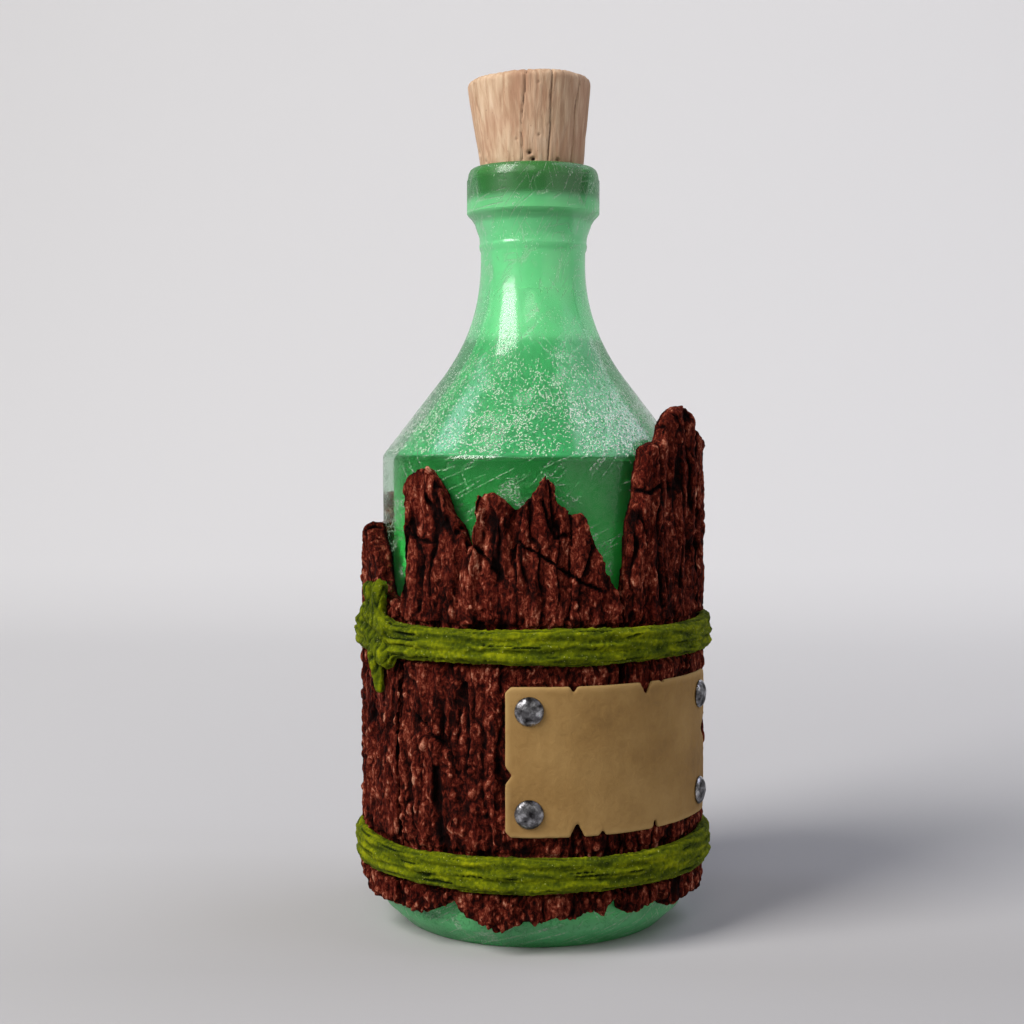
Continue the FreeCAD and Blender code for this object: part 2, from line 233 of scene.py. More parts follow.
class Finish:
    # A material that is put together node by node
    def __init__(self, name):
        self.material = bpy.data.materials.new(name)
        self.material.use_nodes = True
        self.tree = self.material.node_tree
        self.tree.nodes.clear()

    def node(self, kind, settings=None, sockets=None, output=0):
        node = self.tree.nodes.new("ShaderNode" + kind)
        for name, value in (settings or {}).items():
            if name == "stops":
                ramp = node.color_ramp
                while len(ramp.elements) < len(value):
                    ramp.elements.new(1)
                for element, (place, colour) in zip(ramp.elements, value):
                    element.position, element.color = place, colour
            else:
                setattr(node, name, value)
        for name, value in (sockets or {}).items():
            plug(self.tree, value, node.inputs[name])
        return Wire(self.tree, node.outputs[output])

    def place(self, scale=(1, 1, 1)):
        # Object coordinates in millimetres, drawn out where a scale is small
        return self.node("Mapping", {}, {"Vector": self.node("TexCoord", output="Object"),
                                         "Scale": [share / mm for share in scale]})

    def attribute(self, name):
        return self.node("Attribute", {"attribute_name": name}, output=2)

    def noise(self, vector, scale=1, detail=3, roughness=0.5, distortion=0):
        return self.node("TexNoise", {}, {"Vector": vector, "Scale": scale, "Detail": detail,
                                          "Roughness": roughness, "Distortion": distortion})

    def ramp(self, value, *stops):
        return self.node("ValToRGB", {"stops": stops}, {"Fac": value})

    def shades(self, value, stops):
        # Each stop has a level and a colour in steps of 0 to 255
        return self.ramp(value, *[(level, tone(*colour)) for level, colour in stops])

    def bands(self, height, stops):
        # Each stop has a height in millimetres and a colour
        return self.ramp(self.range(height, 0, bandTop),
                         *[(level / bandTop, (*colour, 1)) for level, colour in stops])

    def range(self, value, low, high, newLow=0, newHigh=1):
        return self.node("MapRange", {}, {"Value": value, "From Min": low, "From Max": high,
                                          "To Min": newLow, "To Max": newHigh})

    def blend(self, factor, first, second, kind="MIX"):
        return self.node("Mix", {"data_type": "RGBA", "blend_type": kind},
                         {0: factor, 6: first, 7: second}, output=2)

    def grey(self, colour):
        return self.node("RGBToBW", {}, {"Color": colour})

    def bump(self, height, distance):
        return self.node("Bump", {}, {"Height": height, "Distance": distance * mm})

    def mixShaders(self, share, first, second):
        return self.node("MixShader", {}, {0: share, 1: first, 2: second})

    def shader(self, **sockets):
        return self.node("BsdfPrincipled", {}, {name.replace("_", " "): value
                                                for name, value in sockets.items()})

    def done(self, shader):
        output = self.tree.nodes.new("ShaderNodeOutputMaterial")
        plug(self.tree, shader, output.inputs["Surface"])
        return self.material


# Glass bottle, its rings upwards outside and then downwards inside
glass = {
    "bodyRadius": 37.5, "wall": 3.0, "base": 4.5, "shoulder": 115.4, "slope": 37.6,
    "neckRadius": 13.0, "neckCurve": 46.0, "neckSteps": 16, "lipRadius": 16.5, "lipBore": 14.7,
    "top": 186.3, "underside": 175.0, "footRadius": 30.0, "footRise": 0.3,
    # Radius and height of each point
    "heel": [[31.2, 0.3], [31.9, 0.0], [32.6, 0.35], [37.1, 4.5]], "heelTop": 5.6,
    "collar": [[13.0, 165.6], [13.3, 166.4], [13.45, 167.2], [13.3, 168.0], [13.4, 169.3],
               [13.6, 170.0], [14.3, 171.9], [14.5, 172.6], [15.3, 173.9]],
    "innerHeel": [[33.6, 6.2], [31.5, 4.7]], "innerHeelTop": 8.5, "innerShoulderDrop": 1.0,
    # How far in from the body or lip, then the rise over the shoulder or underside
    "shoulderEdge": [[0, -0.5], [0.1, -0.1], [0.3, 0.3], [0.77, 1.0]],
    "lipFoot": [[0.3, -0.2], [0, 0.25]],
    # How far in from the lip, or the radius in the mouth, then the drop from the top
    "lipEdge": [[0, 3.0], [0.16, 2.9], [0.18, 2.6], [0.42, 1.3], [0.8, 0.5], [1.3, 0.1]],
    "mouth": [[14.3, 0.1], [14.0, 0.5], [13.1, 9.0], [12.9, 9.3], [10.4, 10.3], [10.0, 11.0]],
    "sides": 96, "ringStep": 2.5, "fineFrom": 102.0, "fineCuts": 2, "smoothAngle": 32,
    # Unevenness between the heel and the collar, and wear
    "wobble": 0.16, "wobbleSize": 17.0, "evenBelow": (4, 14), "evenAbove": (172, 160),
    "scuff": 0.022, "scuffSize": 0.8, "mapRadius": 30,
    # Turn, width, length, least wear and shift of each layer of scratches
    "scratches": [[34, 3.4, 90, 0.53, 0], [56, 2.6, 95, 0.5, 7], [66, 3.6, 80, 0.5, 19],
                  [86, 3.0, 60, 0.54, 3], [128, 3.4, 70, 0.56, 11], [156, 3.2, 55, 0.57, 5]],
    # Turn, length, width and share of cells of each layer of short marks
    "flecksAndGlints": [[20, 1.1, 0.3, 0.2], [75, 0.8, 0.3, 0.16], [118, 1.2, 0.34, 0.19], [160, 0.7, 0.36, 0.16]],
    "nicks": [[47, 1.3, 0.4, 0.26], [98, 1.0, 0.4, 0.24], [141, 1.2, 0.4, 0.26]],
    # Two heights, and the value at each: where the marks thicken or fade, the gloss over them, and
    # how much of the inner wall is dyed right through, a diffuse lining whose colour carries painted light
    # and shade
    "fleckFoot": (114, 117, -0.42, 0.04), "fleckFade": (124, 158, 0, 0.24),
    "nickFade": (140, 156, 0, 0.3), "scratchFade": (176, 180, 0.6, 0.3),
    "glossBody": (115, 118, 0.32, 1), "glossNeck": (126, 136, 1, 0.38), "glossLip": (168, 174, 1, 0.5),
    "dyedAndShaded": (112, 160, 0.85, 0.45),
    "markDepth": 0.16, "fleckTone": (0.78, 0.86, 0.74, 1), "scratchTone": (0.95, 1, 0.96, 1),
    # Bands of colour by height: what shines through, the worn skin and the inner wall. The skin and inner
    # wall are darkest on the body below the shoulder as painted shade, all are darker up to about 144 mm as
    # a painted level of contents and paler up the neck as painted light, and the dark band in the lip is
    # painted shade from the cork
    "tintAndShade": [[6, (0.45, 0.85, 0.52)], [14, (0.56, 0.74, 0.58)], [115.2, (0.56, 0.74, 0.59)],
             [115.8, (0.16, 0.4, 0.21)], [143.2, (0.16, 0.42, 0.21)], [144.8, (0.34, 0.8, 0.45)],
             [173, (0.34, 0.8, 0.45)], [176, (0.26, 0.66, 0.34)]],
    "frostAndShade": [[3, (0.1, 0.62, 0.2)], [10, (0.2, 0.7, 0.28)], [90, (0.05, 0.3, 0.08)],
              [115.2, (0.05, 0.22, 0.08)], [115.8, (0.14, 0.42, 0.21)], [143.2, (0.14, 0.48, 0.22)],
              [144.8, (0.18, 0.74, 0.31)], [172.4, (0.18, 0.74, 0.31)], [173.6, (0.13, 0.4, 0.18)],
              [175.2, (0.2, 0.76, 0.3)], [177.6, (0.17, 0.68, 0.27)], [179.2, (0.04, 0.19, 0.05)],
              [182.8, (0.035, 0.17, 0.04)], [184.4, (0.05, 0.22, 0.05)]],
    "depth": [[4, (0.14, 0.85, 0.3)], [20, (0.04, 0.4, 0.12)], [92, (0.05, 0.75, 0.12)],
              [102, (0.03, 0.37, 0.07)], [115.6, (0.02, 0.23, 0.05)], [116.4, (0.24, 1, 0.54)],
              [143, (0.26, 1, 0.54)], [144.6, (0.5, 1, 0.66)], [172, (0.5, 1, 0.66)],
              [173.6, (0.22, 0.6, 0.34)], [175.2, (0.45, 1, 0.62)], [176.8, (0.45, 1, 0.62)],
              [178.6, (0.04, 0.3, 0.06)], [182.8, (0.04, 0.3, 0.06)], [185, (0.07, 0.36, 0.08)]],
    # Share of the skin that is ground dull, by height
    "ground": [[6, 0.5], [14, 0.1], [113, 0.07], [120, 0.14], [140, 0.18], [148, 0.3], [176, 0.55]],
}
slope = math.radians(glass["slope"])


def neckRings(curve):
    centre, count = glass["neckRadius"] + glass["neckCurve"], glass["neckSteps"]
    coneEnd = glass["neckRadius"] + glass["neckCurve"] * (1 - math.cos(slope))
    coneHeight = glass["shoulder"] + (glass["bodyRadius"] - coneEnd) / math.tan(slope)
    neckHeight = coneHeight + glass["neckCurve"] * math.sin(slope)
    return [[centre - curve * math.cos(slope * (1 - part / count)),
             neckHeight - curve * math.sin(slope * (1 - part / count))] for part in range(count + 1)]


def closeRings(profile, gap):
    rings = profile[:1]
    for (r0, z0), (r1, z1) in zip(profile, profile[1:]):
        count = max(1, round(math.hypot(r1 - r0, z1 - z0) / gap))
        rings += [[r0 + (r1 - r0) * part / count, z0 + (z1 - z0) * part / count]
                  for part in range(1, count + 1)]
    return rings


def stackRings(name, rings, sides):
    # A filled circle, extruded from ring to ring
    bpy.ops.object.select_all(action="DESELECT")
    bpy.ops.mesh.primitive_circle_add(vertices=sides, radius=rings[0][0] * mm, fill_type="NGON",
                                      calc_uvs=False, location=(0, 0, rings[0][1] * mm))
    piece = bpy.context.active_object
    piece.name = piece.data.name = name
    bpy.ops.object.transform_apply(location=True)
    bpy.ops.object.mode_set(mode="EDIT")
    bpy.ops.mesh.select_all(action="SELECT")
    for (r0, z0), (r1, z1) in zip(rings, rings[1:]):
        bpy.ops.mesh.extrude_region_move(TRANSFORM_OT_translate={"value": (0, 0, (z1 - z0) * mm)})
        bpy.ops.transform.resize(value=(r1 / r0, r1 / r0, 1), center_override=(0, 0, z1 * mm))
    bpy.ops.mesh.select_all(action="SELECT")
    bpy.ops.mesh.normals_make_consistent(inside=False)
    bpy.ops.object.mode_set(mode="OBJECT")
    return piece


def outerProfile():
    body, lip = glass["bodyRadius"], glass["lipRadius"]
    skin = glass["heel"] + [[body, glass["heelTop"]]]
    skin += [[body - inset, glass["shoulder"] + rise] for inset, rise in glass["shoulderEdge"]]
    skin += neckRings(glass["neckCurve"]) + glass["collar"]
    skin += [[lip - inset, glass["underside"] + rise] for inset, rise in glass["lipFoot"]]
    skin += [[lip - inset, glass["top"] - drop] for inset, drop in glass["lipEdge"]]
    return skin + [[glass["lipBore"], glass["top"]]]


def innerProfile():
    bore = glass["bodyRadius"] - glass["wall"]
    inside = [[radius, glass["top"] - drop] for radius, drop in glass["mouth"]]
    inside += neckRings(glass["neckCurve"] + glass["wall"])[::-1]
    inside += [[bore, glass["shoulder"] - glass["innerShoulderDrop"]], [bore, glass["innerHeelTop"]]]
    return inside + glass["innerHeel"] + [[glass["footRadius"], glass["base"]]]


def cutFaces(piece, chosen, cuts):
    # Four-sided faces whose corners are all chosen are cut into finer ones
    pick(piece)
    bpy.ops.object.mode_set(mode="EDIT")
    bpy.ops.mesh.select_mode(type="FACE")
    bpy.ops.mesh.select_all(action="DESELECT")
    bpy.ops.object.mode_set(mode="OBJECT")
    for face in piece.data.polygons:
        face.select = len(face.vertices) == 4 and all(chosen[v] for v in face.vertices)
    bpy.ops.object.mode_set(mode="EDIT")
    bpy.ops.mesh.subdivide(number_cuts=cuts)
    bpy.ops.object.mode_set(mode="OBJECT")


def unrollMap(piece, angle, height):
    # A map unrolled round the bottle, in millimetres
    layer = piece.data.uv_layers.new(name="unrolled")
    loops = np.empty(len(piece.data.loops), int)
    piece.data.loops.foreach_get("vertex_index", loops)
    faceAngle = angle[loops].copy()
    for face in piece.data.polygons:
        turns = faceAngle[face.loop_start:face.loop_start + face.loop_total]
        if turns.max() - turns.min() > 180:
            turns[turns < 0] += 360
    flat = np.stack([np.radians(faceAngle) * glass["mapRadius"], height[loops]], 1)
    layer.data.foreach_set("uv", flat.ravel())


def makeGlass():
    skinPoints = outerProfile()
    foot = [glass["footRadius"], glass["footRise"]]
    rings = closeRings([foot] + skinPoints + innerProfile(), glass["ringStep"])
    piece = stackRings("glassBottle", rings, glass["sides"])
    skinRadii, skinHeights = zip(*skinPoints[1:])
    insideSkin = glass["wall"] * 0.4
    r, z = roundBottle(cornersOf(piece))[1:]
    onSkin = r > np.interp(z, skinHeights, skinRadii) - insideSkin
    cutFaces(piece, onSkin & (z > glass["fineFrom"]), glass["fineCuts"])
    # The fine faces of the neck and shoulder are laid back on the round profile
    places = cornersOf(piece)
    angle, r, z = roundBottle(places)
    skin = np.interp(z, skinHeights, skinRadii)
    inner = (r < skin - insideSkin) & (z > glass["base"] / 2)
    fine = ~inner & (z > glass["fineFrom"]) & (z < glass["top"] - 0.3)
    # Blown glass is never quite even, and the upper part of this one is scuffed
    drift = glass["wobble"] * softNoise(places / glass["wobbleSize"])
    drift *= step(z, *glass["evenBelow"]) * step(z, *glass["evenAbove"])
    drift += glass["scuff"] * softNoise(places / glass["scuffSize"]) * fine
    places[:, :2] *= ((np.where(fine, skin, r) + drift) / np.maximum(r, 1))[:, None]
    setCorners(piece, places)
    storeValue(piece, "inner", inner)
    pick(piece)
    bpy.ops.object.shade_smooth_by_angle(angle=math.radians(glass["smoothAngle"]))
    unrollMap(piece, angle, z)
    return piece


def lean(paint, flat, turn, shift):
    return paint.node("Mapping", {}, {"Vector": flat, "Rotation": (0, 0, math.radians(turn)),
                                      "Location": (shift, 2 * shift, 0)})


def scratchMarks(paint, flat):
    # Long straight scratches in several directions, each kept in patches
    marks = 0
    for turn, width, length, leastWear, shift in glass["scratches"]:
        turned = lean(paint, flat, turn, shift)
        drawnOut = paint.node("Mapping", {}, {"Vector": turned, "Scale": (1 / width, 1 / length, 1)})
        wander = paint.noise(drawnOut, detail=0) - 0.5
        worn = paint.range(paint.noise(turned, scale=0.1, detail=2), leastWear, leastWear + 0.06)
        dots = paint.range(paint.noise(turned, scale=1.9, detail=2), 0.42, 0.6, 0.12, 0.9)
        marks = paint.range(wander * wander, 0.0009, 0.0002) * worn * dots | marks
    return marks


def shortMarks(paint, flat, rows, worn):
    # A mark in some of the cells of a stretched pattern, more of them where worn
    marks = 0
    for turn, length, width, often in rows:
        stretched = paint.node("Mapping", {}, {"Vector": lean(paint, flat, turn, turn),
                                               "Scale": (1 / length, 1 / width, 1)})
        near, colour = [paint.node("TexVoronoi", {"voronoi_dimensions": "2D"},
                                   {"Vector": stretched, "Scale": 1.0}, output=part) for part in (0, 1)]
        chosen = paint.range(paint.grey(colour) + worn, 1 - often, 1.04 - often)
        marks = paint.range(near, 0.4, 0.22) * chosen | marks
    return marks


def glassFinish():
    paint = Finish("scratchedGreenGlass")
    place = paint.place()
    height = paint.node("SeparateXYZ", {}, {"Vector": place}, output=2)
    haze = paint.noise(place, scale=0.05, detail=4)
    flat = paint.node("TexCoord", output="UV")
    scratches = scratchMarks(paint, flat)
    # Short pale flecks, partly scuffs and partly painted glints, are thick on the shoulder, most of all at
    # its foot where the light catches it, and thin out up the neck and on the body
    patchy = paint.range(paint.noise(place, scale=0.13, detail=3), 0.34, 0.62) * 0.16
    flecksAndGlints = shortMarks(paint, flat, glass["flecksAndGlints"], patchy + paint.range(height, *glass["fleckFoot"])
                        - paint.range(height, *glass["fleckFade"]))
    # Nicks are cut in where flecks stand up, and take the gloss away
    nicks = shortMarks(paint, flat, glass["nicks"], patchy - paint.range(height, *glass["nickFade"]))
    bump = paint.bump(scratches * -1.0 + flecksAndGlints - nicks, glass["markDepth"])
    marks = scratches * paint.range(height, *glass["scratchFade"]) | flecksAndGlints * 0.85
    # The skin's bands carry painted shade on the body, a painted level of contents and painted light up the
    # neck
    frostAndShade = paint.blend(marks, paint.bands(height, glass["frostAndShade"]), glass["fleckTone"])
    tintAndShade = paint.blend(scratches * 0.5, paint.bands(height, glass["tintAndShade"]), glass["scratchTone"])
    # The gloss is strongest on the shoulder and is lost where the skin is nicked
    gloss = paint.range(height, *glass["glossNeck"]) * paint.range(height, *glass["glossBody"]) \
        * paint.range(height, *glass["glossLip"]) * (1 - nicks * 0.85)
    skin = {"Coat_Weight": gloss, "Coat_Roughness": 0.15, "Coat_IOR": 1.8, "Normal": bump}
    clear = paint.shader(Base_Color=tintAndShade, Roughness=paint.range(haze, 0.35, 0.7, 0.06, 0.14),
                         Transmission_Weight=1.0, IOR=1.01, **skin)
    frosted = paint.shader(Base_Color=frostAndShade, Roughness=0.4, **skin)
    ground = paint.grey(paint.bands(height, [[level, (share,) * 3] for level, share in glass["ground"]]))
    outer = paint.mixShaders(marks | ground, clear, frosted)
    # The inner wall's colour is paler in the neck as painted light and darkest below the shoulder as
    # painted shade, brighter around 92 mm as painted light where the bark's teeth shade the body, and dark
    # in the lip as painted shade from the cork
    depth = paint.bands(height + haze * 0.8, glass["depth"])
    dyedAndShaded = paint.shader(Base_Color=depth, Roughness=0.5, IOR=1.3)
    glow = paint.shader(Base_Color=depth, Roughness=0.3, Transmission_Weight=1.0, IOR=1.05)
    lining = paint.mixShaders(paint.range(height, *glass["dyedAndShaded"]), glow, dyedAndShaded)
    return paint.done(paint.mixShaders(paint.attribute("inner"), outer, lining))


settle(makeGlass(), glassFinish(), "bottle", "green_glass", "glass_bottle")


# Bark slabs: remeshed copies, carved by lumps, clefts and cracks
bark = {
    "voxel": 0.47, "backVoxel": 0.65, "smoothing": 3,
    "inner": 37.65, "seat": 42.25, "groove": 41.2, "grooveHalf": 4.7, "reach": 2.4, "skin": (0.4, 2.0),
    "vineHeights": (72.2, 19.7), "labelAngle": 33.8, "labelHalf": 45.0, "labelBand": (26, 66),
    "knotAngle": -61, "knotClear": 17, "teeth": (82, 92),
    # Millimetres round the bottle to a radian and to a degree, and between two slabs' patterns
    "unroll": 42, "perDegree": 0.733, "slabShift": 100,
    # Sizes of each pattern round the bottle, upwards and outwards, and how the warp bends it
    "warpSize": (6, 9, 9), "twistSize": (2.2, 3.2, 4), "patchSize": (9, 14, 20),
    "lumpSize": (1.9, 3.2, 3), "lumpBend": (0.7, 0.8, 0), "lumpTwist": (0.7, 0, 0),
    "fibreSize": (0.8, 4.0, 3), "fibreBend": (1.5, 0, 0), "grainSize": (0.7, 1.1, 1),
    "splitSize": (4.2, 25, 40), "splitBend": (0.6, 0, 0), "splitWidth": 0.13,
    # Depths
    "lump": 0.8, "fibre": 0.38, "grain": 0.2, "swell": 0.35, "split": 1.15, "hidden": -0.6,
    "colours": [[0.06, (7, 1, 1)], [0.26, (34, 7, 4)], [0.44, (84, 26, 16)],
                [0.58, (134, 66, 48)], [0.76, (206, 150, 122)]],
    "redTone": (190, 90, 64),
}
# Creases and cracks: half width and depth, then [angle, height] along each
barkCracks = {
    "bark_front": [[0.35, 1.2, [[-18.4, 95.8], [-14.5, 92.1], [-10.5, 88.1]]],
                   [0.3, 1.3, [[-4.6, 96.0], [3.6, 92.5], [16.7, 86.7], [22.7, 84.6]]],
                   [0.4, 1.1, [[3.0, 105.1], [4.6, 101.3], [7.1, 96.8], [10.7, 97.7]]],
                   [0.3, 1.1, [[-45.5, 99.2], [-42.3, 97.2], [-37.8, 95.8], [-33.9, 95.3]]],
                   [0.25, 1.0, [[-41, 55.5], [-33, 51.0], [-26, 46.5]]],
                   [0.8, 1.1, [[-32.5, 43], [-31.5, 35], [-30.5, 26]]],
                   [0.6, 1.0, [[-22, 63], [-20.5, 52], [-22, 42]]]],
    "bark_left": [[0.5, 1.1, [[-73, 66], [-71.5, 50], [-72.5, 27]]],
                  [0.35, 0.9, [[-73.4, 96.7], [-71.9, 92.4], [-73.7, 86.4]]]],
    "bark_right": [[0.4, 1.2, [[36, 108], [41, 106.5], [46, 109]]],
                   [0.5, 1.1, [[44, 120], [47, 104], [45, 92], [47, 80]]],
                   [0.4, 1.0, [[57, 118], [58, 100], [56, 84]]],
                   [0.35, 0.9, [[81, 60], [83, 44], [80, 28]]]],
    "bark_back_right": [[0.4, 1.0, [[112, 92], [121, 86], [131, 83]]],
                        [0.5, 1.0, [[141, 62], [143, 45], [140, 28]]]],
    "bark_back_left": [[0.4, 1.0, [[200, 88], [210, 92], [217, 98]]],
                       [0.5, 1.0, [[226, 62], [228, 45], [225, 28]]]],
}


def barkLimit(places):
    # The farthest out that bark may stand, clear of the vines' grooves, the label and the knot
    angle, r, z = roundBottle(places)
    limit = np.full(len(r), bark["seat"] + bark["reach"])
    lowest, highest = bark["labelBand"]
    limit[(abs(fromFront(angle, bark["labelAngle"])) < bark["labelHalf"])
          & (z > lowest) & (z < highest)] = bark["seat"]
    limit[(abs(fromFront(angle, bark["knotAngle"])) < bark["knotClear"])
          & (abs(z - bark["vineHeights"][0]) < bark["knotClear"])] = bark["seat"]
    for height in bark["vineHeights"]:
        limit[abs(z - height) < bark["grooveHalf"]] = bark["groove"]
    return limit


def makeBark(node, name, seed):
    piece = remeshedCopy(node, name, bark["backVoxel" if "Back" in name else "voxel"], bark["smoothing"])
    places, normals = cornersOf(piece), normalsOf(piece)
    angle, r, z = roundBottle(places)
    spots = np.stack([np.radians(angle) * bark["unroll"] + seed * bark["slabShift"], z, r], 1)
    outside = step(r, *(bark["inner"] + depth for depth in bark["skin"]))
    warp = softNoise(spots / bark["warpSize"])
    twist = softNoise(spots / bark["twistSize"] + (0, 0, 40))
    lump = step(cellGap(spots / bark["lumpSize"] + np.outer(warp, bark["lumpBend"])
                        + np.outer(twist, bark["lumpTwist"])), 0, 0.6)
    fibre = softNoise(spots / bark["fibreSize"] + np.outer(warp, bark["fibreBend"]))
    split = abs(softNoise(spots / bark["splitSize"] + np.outer(warp, bark["splitBend"]) + (30, 0, 0)))
    # Lumpy patches take turns with fibrous ones, and the teeth have long smooth ribs
    knobbly = step(softNoise(spots / bark["patchSize"] + (5, 0, 0)), -0.2, 0.2)
    tooth = step(z, *bark["teeth"])
    raised = bark["lump"] * (lump - 0.6) * mix(0.35, 1, knobbly) * mix(1, 0.45, tooth)
    raised += bark["fibre"] * fibre * mix(1.2, 0.5, knobbly) + bark["swell"] * warp
    raised += bark["grain"] * softNoise(spots / bark["grainSize"])
    raised -= bark["split"] * (1 - step(split, 0, bark["splitWidth"])) * mix(0.55, 1, tooth)
    for halfWidth, depth, line in barkCracks[node]:
        near = crackDistance(angle, z + 0.8 * warp, line, bark["perDegree"])
        raised -= depth * hollow(near, halfWidth, 0.3, 1.6)
    raised *= outside
    moved = places + normals * raised[:, None]
    newR = np.hypot(moved[:, 0], moved[:, 1])
    moved[:, :2] *= (np.clip(newR, bark["inner"], barkLimit(moved)) / newR)[:, None]
    setCorners(piece, moved)
    # The hidden inner side gets a low relief value, so it is painted darker as painted shade
    storeValue(piece, "relief", np.where(outside > 0.2, raised, bark["hidden"]))
    smoothShade(piece)
    return piece


def barkFinish():
    # Mottles, fibres and speckles vary the tone at random; the relief paints high spots paler as painted
    # highlight, and hollows and cracks darker as painted shade
    paint = Finish("reddishBark")
    even = paint.place()
    mottle = paint.noise(paint.place(scale=(1, 1, 0.65)), scale=0.6, detail=6, roughness=0.66,
                         distortion=1.2)
    fibre = paint.noise(paint.place(scale=(1, 1, 0.3)), scale=1.6, detail=4, roughness=0.65)
    speckle = paint.noise(paint.place(scale=(1, 1, 0.7)), scale=2.3, detail=3, roughness=0.6,
                          distortion=0.6)
    level = paint.range(paint.attribute("relief"), -1.2, 0.9) * 0.7 + mottle * 1.2 + fibre * 0.35 \
        + speckle * 0.4 - 0.92
    colour = paint.shades(level, bark["colours"])
    reddish = paint.range(paint.noise(even, scale=0.11, detail=3), 0.48, 0.66, 0, 0.5)
    colour = paint.blend(reddish, colour, paint.blend(0.8, colour, tone(*bark["redTone"]), "MULTIPLY"))
    grain = paint.noise(paint.place(scale=(1, 1, 0.35)), scale=2.6, detail=5, roughness=0.7)
    return paint.done(paint.shader(Base_Color=colour, Roughness=paint.range(fibre, 0.3, 0.7, 0.7, 0.95),
                                   Specular_IOR_Level=0.05,
                                   Normal=paint.bump(grain * 0.7 + fibre * 0.5, 0.6)))


barkMaterial = barkFinish()
for seed, (node, name) in enumerate((("bark_front", "barkFront"), ("bark_left", "barkLeft"),
                                     ("bark_right", "barkRight"), ("bark_back_right", "barkBackRight"),
                                     ("bark_back_left", "barkBackLeft"))):
    settle(makeBark(node, name, seed), barkMaterial, "bottle", "bark", node)


# Vines: twisted strands round the bottle, with a knotted tie
vine = {
    "voxel": 0.44, "smoothing": 10, "inner": 41.35, "thick": 3.6, "halfWidth": 4.3, "middle": 43,
    "skin": (0.2, 1.0),
    # Strands across the vine, and their twist in degrees to a millimetre
    "strands": 2.5, "twist": 2.2, "sway": 150, "strandDepth": 0.18,
    # Sizes along the vine, round its section in degrees and outwards
    "ripple": 0.3, "rippleSize": (4.5, 14, 2), "splitDepth": 0.8, "splitSize": (11, 7, 6),
    "swaySize": (22, 40, 30),  # along the vine, upwards and outwards
    "knotGrain": 0.5, "knotGrainSize": (8, 1.6, 3),  # upwards, round the bottle and outwards
    "moss": 0.22, "mossSize": 0.8,
    "colours": [[0.0, (7, 11, 0)], [0.25, (28, 40, 0)], [0.45, (62, 74, 0)], [0.62, (97, 107, 0)],
                [0.9, (156, 160, 8)]],
    "fleckTone": (196, 200, 120),
}


def makeVine(node, name, height, knotAngle, knotReach, seed):
    piece = remeshedCopy(node, name, vine["voxel"], vine["smoothing"])
    places, normals = cornersOf(piece), normalsOf(piece)
    angle, r, z = roundBottle(places)
    along = np.radians(fromFront(angle, knotAngle + 180)) * vine["middle"]
    depth = (r - vine["inner"] - vine["thick"] * 0.35) / (vine["thick"] * 0.55)
    turn = np.degrees(np.arctan2((z - height) / vine["halfWidth"], depth))
    inKnot = step(-abs(fromFront(angle, knotAngle)), -knotReach, -knotReach * 0.6)
    sway = softNoise(np.stack([along, z, r], 1) / vine["swaySize"] + (0, seed, 0))
    strand = np.sin(np.radians(turn * vine["strands"] + along * vine["twist"] + vine["sway"] * sway))
    spots = np.stack([along, turn, r], 1)
    splits = step(softNoise(spots / vine["splitSize"] + (50, 0, seed)), 0.44, 0.54)
    raised = vine["ripple"] * softNoise(spots / vine["rippleSize"] + (0, 0, seed))
    raised += vine["moss"] * softNoise(places / vine["mossSize"])
    raised -= vine["strandDepth"] * (1 - step(abs(strand), 0.0, 0.5)) * (1 - inKnot)
    raised -= vine["splitDepth"] * splits * (1 - inKnot)
    # The knot's strands run up and down
    around = np.stack([z, np.radians(angle) * vine["middle"], r], 1)
    raised -= vine["knotGrain"] * step(abs(softNoise(around / vine["knotGrainSize"])), 0.16, 0.0) * inKnot
    outside = step(r, *(vine["inner"] + depth for depth in vine["skin"]))
    setCorners(piece, places + normals * (raised * outside)[:, None])
    storeValue(piece, "relief", raised)
    storeValue(piece, "along", along)
    storeValue(piece, "turn", turn)
    smoothShade(piece)
    return piece


def vineFinish():
    # Streaks run along the strands, and moss lies over them
    paint = Finish("mossyVine")
    line = paint.node("CombineXYZ", {}, {"X": paint.attribute("along") * 0.16,
                                         "Y": paint.attribute("turn") * 0.05, "Z": 0})
    streak = paint.noise(line, scale=1.0, detail=5, roughness=0.65)
    even = paint.place()
    moss = paint.noise(even, scale=1.5, detail=5, roughness=0.7)
    patch = paint.noise(even, scale=0.11, detail=3)
    # Hollows in the relief, the strand grooves and splits, are painted darker as painted shade
    level = paint.range(paint.attribute("relief"), -0.6, 0.25) * 0.5 + streak * 0.45 + moss * 0.5 \
        + patch * 0.4 - 0.46
    colour = paint.shades(level, vine["colours"])
    fleck = paint.noise(even, scale=2.6, detail=2)
    colour = paint.blend(paint.range(fleck, 0.68, 0.74, 0, 0.6), colour, tone(*vine["fleckTone"]))
    return paint.done(paint.shader(Base_Color=colour, Roughness=paint.range(moss, 0.3, 0.7, 0.7, 0.95),
                                   Specular_IOR_Level=0.1,
                                   Normal=paint.bump(moss * 0.8 + streak * 0.6, 0.5)))


vineMaterial = vineFinish()
# Node and piece, height, the tie's angle and reach, and a shift of the patterns
for node, name, *tie in (("vine_upper", "vineUpper", 72.2, -61, 13, 0),
                         ("vine_lower", "vineLower", 19.7, 180, 10, 30)):
    settle(makeVine(node, name, *tie), vineMaterial, "bottle", "vine", node)


